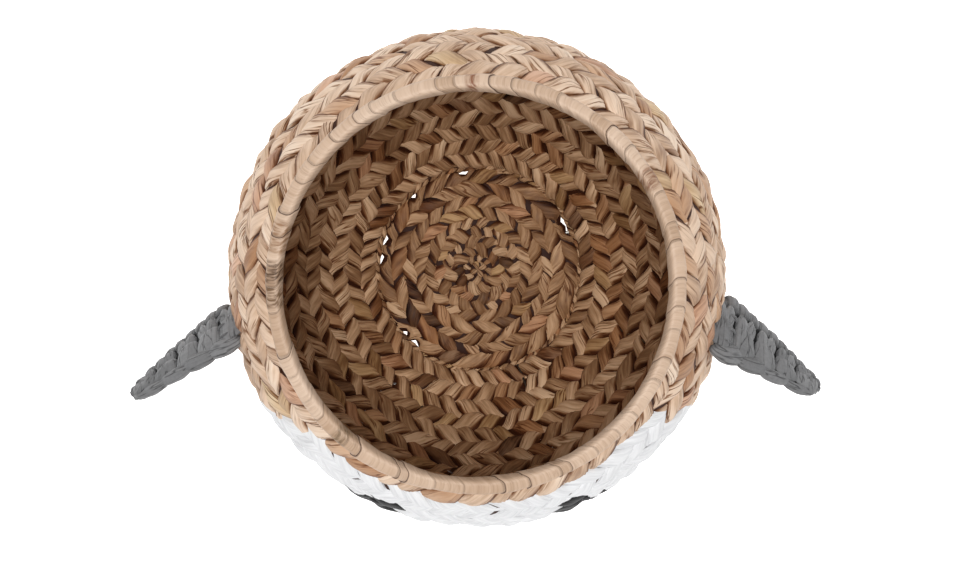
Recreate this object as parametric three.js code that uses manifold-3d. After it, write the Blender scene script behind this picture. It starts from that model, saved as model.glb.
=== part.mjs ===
// A round belly basket woven from flat leaf strands over a wire frame, with two soft ears.
// Millimetres, +Z up. The origin is the middle of the flat base, on the floor.
// The front of the basket looks along -Y and the ears stand out along +X and -X.

import * as THREE from 'three';
import { mergeVertices } from 'three/addons/utils/BufferGeometryUtils.js';
import Module from 'manifold-3d';

const wasm = await Module();
wasm.setup();

// Driving dimensions of the basket
const BASKET_HEIGHT = 300;
const BELLY_RADIUS = 195;
const BELLY_HEIGHT = 180;
const RIM_HOOP_RADIUS = 142;
const BASE_HOOP_RADIUS = 94;

// Woven wall: bands of two rows of leaves each. A row is thick in the middle and thin at its edges.
// Its leaves lie high and low in turn, and a high leaf in one row is beside a low one in the next.
const WALL_THICKNESS = 12;
const WALL_SEAM_THICKNESS = 8;
const BAND_COUNT = 10;
const ROWS_PER_BAND = 2;
const LEAF_STEP = 1.2;
const LEAF_SHIFT_SHARE = 0.25;

// Woven base: a crossing of stakes in the middle, then flat-bottomed rings of two or three rows of
// leaves each. The rows widen outwards: the growth is what the last has over the first, as a share of it.
const BASE_THICKNESS = 11;
const BASE_SEAM_THICKNESS = 9;
const BASE_RING_ROWS = [2, 3, 3];
const BASE_ROW_GROWTH_SHARE = 0.4;
const CROSS_RADIUS = 15;
const CROSS_DISC_THICKNESS = 8.5;
const CROSS_BAR_WIDTH = 9;

// Wire frame: two hoops, with spokes under the base and uprights up the wall
const RIM_WIRE_RADIUS = 3;
const BASE_WIRE_RADIUS = 2.5;
const STAKE_WIRE_RADIUS = 1.5;
const STAKE_COUNT = 8;
const SPOKE_START_RADIUS = 7;

// Leaf strips wound round the rim hoop
const WRAP_THICKNESS = 2;

// Ears: flat crocheted flaps, sewn on at a slant
const EAR_LENGTH = 87;
const EAR_ROOT_WIDTH = 60;
const EAR_TIP_WIDTH = 20;
const EAR_THICKNESS = 13;
const EAR_TIP_THICKNESS = 9;
const EAR_SAG = 5;
const EAR_STITCH_PITCH = 12;
const EAR_STITCH_DEPTH = 1.8;
const EAR_BAND = 8;
const EAR_NESTLE = 1;
const EAR_AZIMUTH = THREE.MathUtils.degToRad(11);
const RIGHT_EAR_SLANT = THREE.MathUtils.degToRad(47);
const LEFT_EAR_SLANT = THREE.MathUtils.degToRad(63);
const RIGHT_EAR_DROOP = THREE.MathUtils.degToRad(28.5);
const LEFT_EAR_DROOP = THREE.MathUtils.degToRad(24.5);

// Fits: pieces that touch keep SEAT_GAP, and a wire runs in the weave with WIRE_CLEARANCE
const SEAT_GAP = 0.3;
const WIRE_CLEARANCE = 0.35;
const CUT_OVERRUN = 1;

// Facets
const ROUND_SIDES = 48;
const WIRE_SIDES = 6;
const WRAP_STEPS = 4;
const CROSS_SIDES = 24;
const STATIONS_PER_STITCH = 3;

const LEAF = { color: 0xcbaa88, roughness: 0.78, metalness: 0 };
const SHADED_LEAF = { color: 0xb08d69, roughness: 0.8, metalness: 0 };
const STRIP = { color: 0xdcc39e, roughness: 0.7, metalness: 0 };
const WIRE = { color: 0x54504b, roughness: 0.45, metalness: 0.9 };
const YARN = { color: 0x7f7f80, roughness: 0.95, metalness: 0 };

// Derived sizes
const bellyMidRadius = BELLY_RADIUS - WALL_THICKNESS / 2;
const wrapBoreRadius = (RIM_WIRE_RADIUS + SEAT_GAP) / Math.cos(Math.PI / 2 / WRAP_STEPS);
const wrapRadius = wrapBoreRadius + WRAP_THICKNESS;
const baseWireHeight = BASE_THICKNESS / 2;
const stakeStep = 2 * Math.PI / STAKE_COUNT;
const firstStakeAngle = stakeStep / 2;

// The wall's middle surface is two arcs, upright at the belly, that end at the two hoops
function meridianArc(endRadius, endHeight) {
  const inset = bellyMidRadius - endRadius;
  const rise = Math.abs(endHeight - BELLY_HEIGHT);
  const radius = (inset * inset + rise * rise) / (2 * inset);
  const angle = Math.atan2(rise, radius - inset);
  return { radius, angle, length: radius * angle };
}

const lowerArc = meridianArc(BASE_HOOP_RADIUS, baseWireHeight);
const rimWireHeight = BASKET_HEIGHT - wrapRadius;
const upperArc = meridianArc(RIM_HOOP_RADIUS, rimWireHeight);
const wallLength = lowerArc.length + upperArc.length;
const wallStart = BASE_WIRE_RADIUS + SEAT_GAP;
const wallEnd = wallLength - RIM_WIRE_RADIUS - SEAT_GAP;
const bandPitch = (wallEnd - wallStart + SEAT_GAP) / BAND_COUNT;

// Radius, height and outward slope of the middle surface at a distance from the base hoop
function wallAt(distance) {
  const fromBelly = distance - lowerArc.length;
  const arc = fromBelly < 0 ? lowerArc : upperArc;
  const slope = fromBelly / arc.radius;
  return {
    radius: bellyMidRadius - arc.radius + arc.radius * Math.cos(slope),
    height: BELLY_HEIGHT + arc.radius * Math.sin(slope),
    slope,
  };
}

// A point of a meridian section, off the middle surface by an outward distance
function sectionPoint(distance, outward) {
  const at = wallAt(distance);
  const radius = at.radius + outward * Math.cos(at.slope);
  const height = at.height + outward * Math.sin(at.slope);
  return new THREE.Vector2(radius, height);
}

// Keeps positions only, joins equal vertices and turns the faces outwards
function closed(geometry) {
  geometry.deleteAttribute('normal');
  geometry.deleteAttribute('uv');
  const merged = mergeVertices(geometry, SEAT_GAP / 1000);
  const position = merged.getAttribute('position');
  const index = merged.getIndex().array;
  const corner = [new THREE.Vector3(), new THREE.Vector3(), new THREE.Vector3()];
  const kept = [];
  let volume = 0;
  for (let face = 0; face < index.length; face += 3) {
    const [a, b, c] = index.slice(face, face + 3);
    if (a === b || b === c || c === a) continue;
    kept.push(a, b, c);
    [a, b, c].forEach((vertex, i) => corner[i].fromBufferAttribute(position, vertex));
    volume += corner[0].dot(corner[1].cross(corner[2]));
  }
  if (volume < 0) kept.reverse();
  merged.setIndex(kept);
  return merged;
}

// Turns a closed profile of (radius, height) points about the Z axis
function revolve(profile, sides = ROUND_SIDES) {
  const points = [...profile, profile[0]];
  const lathe = new THREE.LatheGeometry(points, sides, Math.PI / sides);
  return closed(lathe.rotateX(Math.PI / 2));
}

// Skins a row of point rings that have equal counts. Both ends are capped, or an endless row's last
// ring meets its first.
function loft(rings, endless = false) {
  const count = rings[0].length;
  const positions = rings.flat().flatMap((point) => point.toArray());
  const index = [];
  const last = (rings.length - 1) * count;
  for (let start = 0; start < (endless ? last + count : last); start += count) {
    const beyond = start === last ? 0 : start + count;
    for (let i = 0; i < count; i += 1) {
      const next = (i + 1) % count;
      index.push(start + i, start + next, beyond + next, start + i, beyond + next, beyond + i);
    }
  }
  for (let i = 1; i + 1 < count && !endless; i += 1) {
    index.push(0, i + 1, i, last, last + i, last + i + 1);
  }
  const geometry = new THREE.BufferGeometry();
  geometry.setAttribute('position', new THREE.Float32BufferAttribute(positions, 3));
  geometry.setIndex(index);
  return closed(geometry);
}

function solidOf(geometry) {
  const merged = closed(geometry.clone());
  const vertProperties = Float32Array.from(merged.getAttribute('position').array);
  const triVerts = Uint32Array.from(merged.getIndex().array);
  return new wasm.Manifold(new wasm.Mesh({ numProp: 3, vertProperties, triVerts }));
}

function geometryOf(solid) {
  const mesh = solid.getMesh();
  const geometry = new THREE.BufferGeometry();
  geometry.setAttribute('position', new THREE.Float32BufferAttribute(mesh.vertProperties, 3));
  geometry.setIndex(Array.from(mesh.triVerts));
  return geometry;
}

function cut(geometry, cutters) {
  const body = cutters.reduce((solid, cutter) => solid.subtract(cutter), solidOf(geometry));
  return geometryOf(body);
}

const basket = new THREE.Group();

function place(name, geometry, finish, parent = basket) {
  geometry.computeVertexNormals();
  const mesh = new THREE.Mesh(geometry, new THREE.MeshStandardMaterial(finish));
  mesh.name = name;
  parent.add(mesh);
  return mesh;
}

function stakeAngle(number) {
  return firstStakeAngle + number * stakeStep;
}

function numbered(name, number) {
  return `${name}_${String(number + 1).padStart(2, '0')}`;
}

// A wire along the wall in the XZ plane, as rings across the middle surface
function uprightAlong(distances, radius, sides) {
  return loft(distances.map((distance) => {
    const ring = [];
    for (let i = 0; i < sides; i += 1) {
      const angle = 2 * Math.PI * (i + 0.5) / sides;
      const point = sectionPoint(distance, radius * Math.cos(angle));
      ring.push(new THREE.Vector3(point.x, radius * Math.sin(angle), point.y));
    }
    return ring;
  }));
}

// Uprights stand between the hoops and bend between bands, with a square way round each in the weave
function uprightDistances() {
  const bends = Array.from({ length: BAND_COUNT - 1 }, (_, i) => (
    wallStart + (i + 1) * bandPitch - SEAT_GAP / 2
  ));
  return [wallStart, ...bends, wallEnd];
}

function uprightGeometry() {
  return uprightAlong(uprightDistances(), STAKE_WIRE_RADIUS, WIRE_SIDES);
}

function uprightWay() {
  const distances = uprightDistances();
  distances[0] -= CUT_OVERRUN;
  distances[BAND_COUNT] += CUT_OVERRUN;
  const halfDiagonal = (STAKE_WIRE_RADIUS + WIRE_CLEARANCE) * Math.SQRT2;
  return uprightAlong(distances, halfDiagonal, 4);
}

// Spokes lie in the middle of the base, from the crossing to the base hoop
function spokeGeometry(radius, sides, overrun) {
  const start = SPOKE_START_RADIUS - overrun;
  const end = BASE_HOOP_RADIUS - wallStart + overrun;
  const spoke = new THREE.CylinderGeometry(radius, radius, end - start, sides, 1, false, Math.PI / sides);
  spoke.rotateZ(Math.PI / 2);
  spoke.translate((start + end) / 2, 0, baseWireHeight);
  return spoke;
}

function spokeWay() {
  const halfDiagonal = (STAKE_WIRE_RADIUS + WIRE_CLEARANCE) * Math.SQRT2;
  return spokeGeometry(halfDiagonal, 4, CUT_OVERRUN);
}

function aroundAxis(geometry) {
  const ways = [];
  for (let number = 0; number < STAKE_COUNT; number += 1) {
    ways.push(solidOf(geometry.clone().rotateZ(stakeAngle(number))));
  }
  return ways;
}

// A hoop of round wire
function hoop(radius, height, wireRadius) {
  const profile = [];
  for (let i = 0; i < WIRE_SIDES; i += 1) {
    const angle = 2 * Math.PI * i / WIRE_SIDES;
    const x = radius + wireRadius * Math.cos(angle);
    profile.push(new THREE.Vector2(x, height + wireRadius * Math.sin(angle)));
  }
  return revolve(profile);
}

// A ring of points round the wall, off its middle surface. With a shift, every other point is on a
// low leaf and moved down, and the rest are on high leaves and moved up.
function wallRing(distance, outward, shift = 0, firstLow = 0) {
  return Array.from({ length: ROUND_SIDES }, (_, i) => {
    const low = shift === 0 ? 0 : (i + firstLow) % 2;
    const depth = outward - Math.sign(outward) * low * LEAF_STEP;
    const point = sectionPoint(distance + shift * (1 - 2 * low), depth);
    const angle = 2 * Math.PI * (i + 0.5) / ROUND_SIDES;
    return new THREE.Vector3(point.x * Math.cos(angle), point.x * Math.sin(angle), point.y);
  });
}

// One woven band of the wall: rows of leaves that bulge on both faces between their edges
function wallBand(number) {
  const bottom = wallStart + number * bandPitch;
  const rowRise = (bandPitch - SEAT_GAP) / ROWS_PER_BAND;
  const face = (side) => {
    const rings = [wallRing(bottom, side * WALL_SEAM_THICKNESS / 2)];
    for (let row = 0; row < ROWS_PER_BAND; row += 1) {
      const shift = LEAF_SHIFT_SHARE * rowRise;
      rings.push(wallRing(bottom + (row + 0.5) * rowRise, side * WALL_THICKNESS / 2, shift, row % 2));
      rings.push(wallRing(bottom + (row + 1) * rowRise, side * WALL_SEAM_THICKNESS / 2));
    }
    return rings;
  };
  return loft([...face(1), ...face(-1).reverse()], true);
}

// The radius at which a row of the base starts, counted from the crossing
function baseRowStart(row) {
  const rows = BASE_RING_ROWS.reduce((sum, count) => sum + count);
  const reach = (count) => count + BASE_ROW_GROWTH_SHARE * count * (count - 1) / (2 * (rows - 1));
  const first = CROSS_RADIUS + SEAT_GAP;
  const beyond = BASE_HOOP_RADIUS - wallStart + SEAT_GAP;
  return first + (beyond - first) * reach(row) / reach(rows);
}

// One woven ring of the base, flat below, with a dome over each of its rows
function baseRing(number) {
  const firstRow = BASE_RING_ROWS.slice(0, number).reduce((sum, count) => sum + count, 0);
  const last = BASE_RING_ROWS[number];
  const edges = Array.from({ length: last + 1 }, (_, row) => baseRowStart(firstRow + row));
  edges[last] -= SEAT_GAP;
  const profile = [new THREE.Vector2(edges[0], 0), new THREE.Vector2(edges[last], 0)];
  for (let row = last; row > 0; row -= 1) {
    profile.push(new THREE.Vector2(edges[row], BASE_SEAM_THICKNESS));
    profile.push(new THREE.Vector2((edges[row - 1] + edges[row]) / 2, BASE_THICKNESS));
  }
  profile.push(new THREE.Vector2(edges[0], BASE_SEAM_THICKNESS));
  return revolve(profile, number === 0 ? CROSS_SIDES : ROUND_SIDES);
}

// The crossing of the stakes in the middle of the base: a disc with two bars laid over it as an X
function baseCross() {
  const disc = revolve([
    new THREE.Vector2(0, 0),
    new THREE.Vector2(CROSS_RADIUS, 0),
    new THREE.Vector2(CROSS_RADIUS, CROSS_DISC_THICKNESS),
    new THREE.Vector2(0, CROSS_DISC_THICKNESS),
  ], CROSS_SIDES);
  const halfWidth = CROSS_BAR_WIDTH / 2;
  const reach = Math.sqrt(CROSS_RADIUS * CROSS_RADIUS - halfWidth * halfWidth) - SEAT_GAP;
  const bars = [Math.PI / 4, -Math.PI / 4].map((angle) => {
    const bar = new THREE.BoxGeometry(2 * reach, CROSS_BAR_WIDTH, BASE_THICKNESS - SEAT_GAP);
    bar.translate(0, 0, (BASE_THICKNESS + SEAT_GAP) / 2);
    bar.rotateZ(angle);
    return solidOf(bar);
  });
  return geometryOf(bars.reduce((solid, bar) => solid.add(bar), solidOf(disc)));
}

// The strips wound round the rim hoop: a U section, open towards the wall, that saddles the hoop
function rimWrap() {
  const slope = wallAt(wallLength).slope;
  const at = (along, outward) => new THREE.Vector2(
    RIM_HOOP_RADIUS - along * Math.sin(slope) + outward * Math.cos(slope),
    rimWireHeight + along * Math.cos(slope) + outward * Math.sin(slope),
  );
  const half = (radius, way) => Array.from({ length: WRAP_STEPS + 1 }, (_, i) => {
    const angle = way * (Math.PI / 2 - Math.PI * i / WRAP_STEPS);
    return at(radius * Math.cos(angle), radius * Math.sin(angle));
  });
  return revolve([
    at(-RIM_WIRE_RADIUS, wrapRadius),
    ...half(wrapRadius, 1),
    at(-RIM_WIRE_RADIUS, -wrapRadius),
    at(-RIM_WIRE_RADIUS, -wrapBoreRadius),
    ...half(wrapBoreRadius, -1),
    at(-RIM_WIRE_RADIUS, wrapBoreRadius),
  ]);
}

// A flat ear along +X from its seam, which is the Y axis. Its root is half round about that axis,
// its thick stitches scallop one edge, and its faces dip along the middle.
const EAR_ACROSS_SHARES = [1, 0.72, 0, -0.72, -1, -0.72, 0, 0.72];
const EAR_THROUGH_SHARES = [0, 1, 0.8, 1, 0, -1, -0.8, -1];
const EAR_ROOT_SHARES = [-0.95, -0.7, -0.35];
const EAR_TIP_SHARES = [0.55, 0.85, 0.97];
const PLAIN_EDGE_SHARE = 0.35;

function earGeometry(stitchedSide) {
  const rootRadius = EAR_THICKNESS / 2;
  const tipRadius = EAR_TIP_WIDTH / 2;
  const straight = EAR_LENGTH - tipRadius;
  const stitches = Math.max(1, Math.round(straight / EAR_STITCH_PITCH));
  const ringAt = (x, widthShare, thickness, scallop) => {
    const along = THREE.MathUtils.clamp(x / straight, 0, 1);
    const halfWidth = widthShare * THREE.MathUtils.lerp(EAR_ROOT_WIDTH, EAR_TIP_WIDTH, along) / 2;
    const sag = EAR_SAG * (x / EAR_LENGTH) ** 2;
    return EAR_ACROSS_SHARES.map((across, i) => {
      const onStitched = across * stitchedSide > 0;
      const depth = scallop * Math.abs(across) * (onStitched ? 1 : PLAIN_EDGE_SHARE);
      const y = across * halfWidth - Math.sign(across) * depth;
      return new THREE.Vector3(x, y, EAR_THROUGH_SHARES[i] * thickness / 2 - sag);
    });
  };
  const rings = EAR_ROOT_SHARES.map((share) => (
    ringAt(share * rootRadius, 1, EAR_THICKNESS * Math.sqrt(1 - share * share), EAR_STITCH_DEPTH)
  ));
  const stations = stitches * STATIONS_PER_STITCH;
  for (let i = 0; i <= stations; i += 1) {
    const share = i / stations;
    const valley = Math.cos(Math.PI * stitches * share) ** 2;
    const thickness = THREE.MathUtils.lerp(EAR_THICKNESS, EAR_TIP_THICKNESS, share);
    rings.push(ringAt(share * straight, 1, thickness, EAR_STITCH_DEPTH * valley));
  }
  for (const share of EAR_TIP_SHARES) {
    const narrowing = Math.sqrt(1 - share * share);
    const x = straight + share * tipRadius;
    rings.push(ringAt(x, narrowing, EAR_TIP_THICKNESS * Math.sqrt(narrowing), EAR_STITCH_DEPTH * narrowing));
  }
  return loft(rings);
}

// Hangs an ear on the two rows of its band, its root nestled between their leaves: turned round the
// basket, leaned with the wall, slanted along its seam and drooped about it
function hangEar(name, azimuth, slant, droop, stitchedSide) {
  const distance = wallStart + (EAR_BAND - 0.5) * bandPitch;
  const outward = WALL_THICKNESS / 2 - EAR_NESTLE + SEAT_GAP + EAR_THICKNESS / 2;
  const seam = sectionPoint(distance, outward);
  const turned = new THREE.Group();
  turned.rotation.z = azimuth;
  const leaned = new THREE.Group();
  leaned.position.set(seam.x, 0, seam.y);
  leaned.rotation.y = -wallAt(distance).slope;
  const slanted = new THREE.Group();
  slanted.rotation.x = slant;
  const drooped = new THREE.Group();
  drooped.rotation.y = droop;
  basket.add(turned);
  turned.add(leaned);
  leaned.add(slanted);
  slanted.add(drooped);
  place(name, earGeometry(stitchedSide), YARN, drooped);
}

const uprightWays = aroundAxis(uprightWay());
const spokeWays = aroundAxis(spokeWay());

place('base_cross', cut(baseCross(), spokeWays), SHADED_LEAF);
for (let number = 0; number < BASE_RING_ROWS.length; number += 1) {
  place(numbered('base_ring', number), cut(baseRing(number), spokeWays), SHADED_LEAF);
}
place('base_hoop', hoop(BASE_HOOP_RADIUS, baseWireHeight, BASE_WIRE_RADIUS), WIRE);
for (let number = 0; number < BAND_COUNT; number += 1) {
  place(numbered('wall_band', number), cut(wallBand(number), uprightWays), LEAF);
}
place('rim_hoop', hoop(RIM_HOOP_RADIUS, rimWireHeight, RIM_WIRE_RADIUS), WIRE);
place('rim_wrap', rimWrap(), STRIP);
for (let number = 0; number < STAKE_COUNT; number += 1) {
  const spoke = place(numbered('spoke', number), spokeGeometry(STAKE_WIRE_RADIUS, WIRE_SIDES, 0), WIRE);
  spoke.rotation.z = stakeAngle(number);
  const upright = place(numbered('upright', number), uprightGeometry(), WIRE);
  upright.rotation.z = stakeAngle(number);
}
hangEar('right_ear', -EAR_AZIMUTH, -RIGHT_EAR_SLANT, RIGHT_EAR_DROOP, 1);
hangEar('left_ear', Math.PI + EAR_AZIMUTH, LEFT_EAR_SLANT, LEFT_EAR_DROOP, -1);

export default basket;
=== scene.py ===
import math

import bpy
from mathutils import Matrix, Vector


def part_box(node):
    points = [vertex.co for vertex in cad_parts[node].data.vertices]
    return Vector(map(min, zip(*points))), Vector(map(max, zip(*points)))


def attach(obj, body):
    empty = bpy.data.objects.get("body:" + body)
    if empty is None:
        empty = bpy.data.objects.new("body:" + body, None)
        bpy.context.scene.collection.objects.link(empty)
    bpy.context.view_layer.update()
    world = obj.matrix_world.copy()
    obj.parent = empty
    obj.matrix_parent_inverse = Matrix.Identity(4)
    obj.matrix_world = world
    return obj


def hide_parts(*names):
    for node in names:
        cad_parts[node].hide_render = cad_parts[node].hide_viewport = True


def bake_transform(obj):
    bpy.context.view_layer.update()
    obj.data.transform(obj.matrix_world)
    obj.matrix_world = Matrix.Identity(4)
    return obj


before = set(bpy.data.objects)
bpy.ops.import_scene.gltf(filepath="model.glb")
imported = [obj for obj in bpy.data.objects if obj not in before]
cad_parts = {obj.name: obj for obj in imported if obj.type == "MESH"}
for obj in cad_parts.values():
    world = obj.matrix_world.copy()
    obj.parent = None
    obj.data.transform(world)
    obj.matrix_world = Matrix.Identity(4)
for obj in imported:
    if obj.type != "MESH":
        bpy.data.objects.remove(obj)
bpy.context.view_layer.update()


# Rows of the base
# Eight flat rows twisted from water-hyacinth leaves, two or three strands to a row,
# round the crossing in the middle. They lean in turn to either hand and widen outwards.

class Flow:
    """A value or vector on its way through a node tree. Sums and products of it add Math nodes there."""

    def __init__(self, socket):
        self.socket = socket

    def other(self, name):
        """Another output of the same node."""
        return Flow(next(s for s in self.socket.node.outputs if s.name == name and s.enabled))

    def maths(self, operation, *others):
        feeds = dict(enumerate((self,) + others))
        return Recipe(self.socket.id_data).node("ShaderNodeMath", {"operation": operation}, feeds)

    def __add__(self, other):
        return self.maths("ADD", other)

    def __sub__(self, other):
        return self.maths("SUBTRACT", other)

    def __rsub__(self, other):
        return self.maths("MULTIPLY_ADD", -1.0, other)

    def __mul__(self, other):
        return self.maths("MULTIPLY", other)

    def __truediv__(self, other):
        return self.maths("DIVIDE", other)

    def __mod__(self, other):
        return self.maths("FLOORED_MODULO", other)

    def __pow__(self, other):
        return self.maths("POWER", other)

    def __neg__(self):
        return self.maths("MULTIPLY", -1.0)

    __radd__ = __add__
    __rmul__ = __mul__

    def sine(self):
        return self.maths("SINE")

    def cosine(self):
        return self.maths("COSINE")

    def root(self):
        return self.maths("SQRT")

    def absolute(self):
        return self.maths("ABSOLUTE")

    def whole(self):
        return self.maths("FLOOR")

    def fraction(self):
        return self.maths("FRACT")

    def at_least(self, level):
        return self.maths("MAXIMUM", level)

    def at_most(self, level):
        return self.maths("MINIMUM", level)

    def above(self, level):
        """1 where the value is above the level, and 0 elsewhere."""
        return self.maths("GREATER_THAN", level)


class Recipe:
    """A node tree, shader or geometry, that nodes are added to."""

    def __init__(self, tree):
        self.tree = tree

    def node(self, kind, settings=None, feeds=None, output=None):
        """Adds a node: its settings first, then the values or links of its sockets. Gives one output.
        A socket that takes several links gets a tuple of them."""
        made = self.tree.nodes.new(kind)
        for name, value in (settings or {}).items():
            if name == "stops":
                ramp = made.color_ramp
                while len(ramp.elements) < len(value):
                    ramp.elements.new(1.0)
                for element, (place, colour) in zip(ramp.elements, value):
                    element.position = place
                    element.color = colour
            else:
                setattr(made, name, value)
        for name, value in (feeds or {}).items():
            if isinstance(name, int):
                socket = made.inputs[name]
            else:
                socket = next(s for s in made.inputs if s.name == name and s.enabled)
            if socket.is_multi_input:
                for flow in value:
                    self.tree.links.new(flow.socket, socket)
            elif isinstance(value, Flow):
                self.tree.links.new(value.socket, socket)
            else:
                socket.default_value = value
        shown = [s for s in made.outputs if s.enabled and (output is None or s.name == output)]
        return Flow(shown[0]) if shown else None

    def vector(self, x, y, z):
        return self.node("ShaderNodeCombineXYZ", None, {0: x, 1: y, 2: z})

    def parts_of(self, vector):
        """The three numbers of a vector."""
        x = self.node("ShaderNodeSeparateXYZ", None, {0: vector})
        return x, x.other("Y"), x.other("Z")

    def scaled(self, vector, by):
        return self.node("ShaderNodeVectorMath", {"operation": "MULTIPLY"}, {0: vector, 1: by})

    def noise(self, vector, waves, seed, detail=1.0):
        """Smooth noise round 0.5, with so many waves to one unit of the vector."""
        return self.node("ShaderNodeTexNoise", {"noise_dimensions": "4D"},
                         {"Vector": vector, "W": seed, "Scale": waves, "Detail": detail})

    def stretch(self, value, low, high, start=0.0, end=1.0):
        """value from low to high becomes start to end, and stays there outside."""
        return self.node("ShaderNodeMapRange", {"clamp": True}, {
            "Value": value, "From Min": low, "From Max": high, "To Min": start, "To Max": end})

    def chance(self, number, seed):
        """One random value from 0 to 1 for each whole number."""
        return self.node("FunctionNodeRandomValue", {"data_type": "FLOAT"},
                         {"Min": 0.0, "Max": 1.0, "ID": number, "Seed": seed})

    def joined(self, *pieces):
        """Several geometries as one."""
        return self.node("GeometryNodeJoinGeometry", None, {"Geometry": pieces})

    def grid(self, along, around):
        """A flat strip of this many points along and round. Once it is wound up, end_with closes it."""
        return self.node("GeometryNodeMeshGrid", None, {
            "Size X": 1.0, "Size Y": 1.0, "Vertices X": along, "Vertices Y": around})

    def strips(self, count, along, around):
        """count strips, which differ in their numbers only."""
        numbers = self.node("GeometryNodeMeshLine", {"mode": "OFFSET"},
                            {"Count": count, "Offset": (0.0, 0.0, 1.0)})
        placed = self.node("GeometryNodeInstanceOnPoints", None,
                           {"Points": numbers, "Instance": self.grid(along, around)})
        return self.node("GeometryNodeRealizeInstances", None, {"Geometry": placed})

    def strip_place(self):
        """Where a point of a strip is: along it and round it, both from 0 to 1, and its strip's number."""
        along, around, number = self.parts_of(self.node("GeometryNodeInputPosition"))
        return along + 0.5, around + 0.5, number

    def keep(self, geometry, **values):
        """Stores numbers and vectors on the points, under these names, for the material."""
        for name, value in values.items():
            is_vector = isinstance(value, Flow) and value.socket.type == "VECTOR"
            settings = {"data_type": "FLOAT_VECTOR" if is_vector else "FLOAT", "domain": "POINT"}
            geometry = self.node("GeometryNodeStoreNamedAttribute", settings,
                                 {"Geometry": geometry, "Name": name, "Value": value})
        return geometry

    def moved(self, geometry, place):
        return self.node("GeometryNodeSetPosition", None, {"Geometry": geometry, "Position": place})

    def known(self, name, output="Fac"):
        """What keep stored: a number, or with the output Vector a vector."""
        return self.node("ShaderNodeAttribute", {"attribute_name": name}, None, output)

    def ramp(self, value, stops):
        """A colour that follows a value. Each stop is a place and its colour."""
        return self.node("ShaderNodeValToRGB", {"stops": stops}, {0: value}, "Color")

    def mixed(self, share, first, second, blend="MIX"):
        """One colour over another."""
        return self.node("ShaderNodeMix", {"data_type": "RGBA", "blend_type": blend},
                         {"Factor": share, "A": first, "B": second})

    def darkened(self, share, colour, darker_tone):
        """A colour with a share of a darker one multiplied into it, for dyes and stains and for painted
        shade.
        """
        return self.mixed(share, colour, darker_tone, "MULTIPLY")


def tree_with(name, sizes):
    """A geometry tree with these named inputs, as (recipe, {name: input})."""
    tree = bpy.data.node_groups.new(name, "GeometryNodeTree")
    tree.interface.new_socket("Piece", in_out="OUTPUT", socket_type="NodeSocketGeometry")
    for label, kind in sizes.items():
        tree.interface.new_socket(label, in_out="INPUT", socket_type="NodeSocket" + kind)
    recipe = Recipe(tree)
    start = recipe.node("NodeGroupInput")
    return recipe, {label: start.other(label) for label in sizes}


def end_with(recipe, geometry, material, inside_out=False):
    """Closes a geometry tree: doubles merged, faces outwards, smooth, instances made real, material set."""
    merged = recipe.node("GeometryNodeMergeByDistance", None, {"Geometry": geometry, "Distance": 2e-6})
    turned = recipe.node("GeometryNodeFlipFaces", None, {"Mesh": merged, "Selection": inside_out})
    smooth = recipe.node("GeometryNodeSetShadeSmooth", None, {"Geometry": turned})
    real = recipe.node("GeometryNodeRealizeInstances", None, {"Geometry": smooth})
    made = recipe.node("GeometryNodeSetMaterial", None, {"Geometry": real, "Material": material})
    recipe.node("NodeGroupOutput", None, {"Piece": made})


def grown(name, recipe, sizes):
    """The plain mesh object that a geometry tree makes from these sizes."""
    piece = bpy.data.objects.new(name, bpy.data.meshes.new(name))
    bpy.context.scene.collection.objects.link(piece)
    modifier = piece.modifiers.new("shape", "NODES")
    modifier.node_group = recipe.tree
    for item in recipe.tree.interface.items_tree:
        if item.in_out == "INPUT":
            modifier[item.identifier] = sizes[item.name]
    bpy.context.view_layer.update()
    evaluated = piece.evaluated_get(bpy.context.evaluated_depsgraph_get())
    mesh = bpy.data.meshes.new_from_object(evaluated)
    piece.modifiers.remove(modifier)
    piece.data = mesh
    mesh.name = name
    mesh.materials.clear()
    mesh.materials.append(next(value for value in sizes.values() if isinstance(value, bpy.types.Material)))
    mesh.polygons.foreach_set("material_index", [0] * len(mesh.polygons))
    return piece


STRAND_SPACES = 12           # round one strand
FACE_SPACES = 9              # of them over its face, and the rest back underneath
FACE_SHARE = FACE_SPACES / STRAND_SPACES
STRAND_REACH = 3.65          # radians from a strand's middle to its edge, times the number of strands
STRAND_CROWN = 0.22          # how much wider a leaf is in its middle
SECTION_POWER = 0.9          # below 1 the section of a row is between round and square
EDGE_POWER = 7.0             # how late the face of a leaf falls to its edge
LEAF_HALF_WIDTH = 0.006
OWN_PLACE_SHARE = 0.5        # how far paint follows the wall and not whole leaves

# the unevenness of leaves: waves to a metre, then what a whole wave is worth
ROW_WAVES, ROW_UNEVEN = 22.0, 3.0
STRAND_WAVES, STRAND_UNEVEN = 34.0, 1.6
WIDTH_WAVES, WIDTH_UNEVEN = 40.0, 0.7
FOLD_WAVES, FOLD_DEPTH = 40.0, 2.4
SWELL_WAVES, SWELL_DEPTH = 34.0, 4.5
TILT_WAVES, TILT_MOST = 18.0, 1.1
DRIFT_WAVES, SWAY_WAVES = 16.0, 13.0
FOLDS_ACROSS = 1.8           # waves from a leaf's middle to its edge
ROW_SEED, STRAND_SEED = 3.1, 5.3     # steps of the noise, so that rows and strands differ
TINT_SEED = 300.0            # beside the row's seed, so that a leaf's dye and shade differ
LEAF_NUMBERS = 500.0         # for each strand, more than it has leaves
CORE_POINTS = (12.0, 13)     # in one turn of the leaves, and round the core
CORE_HOLLOW = 1.6            # where a gap between leaves has 1 at most, so the core takes the darkest painted shade


def squared(wave, power):
    """A sine or cosine with flatter tops, for a section between round and square."""
    return wave.maths("SIGN") * wave.absolute() ** power


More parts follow.
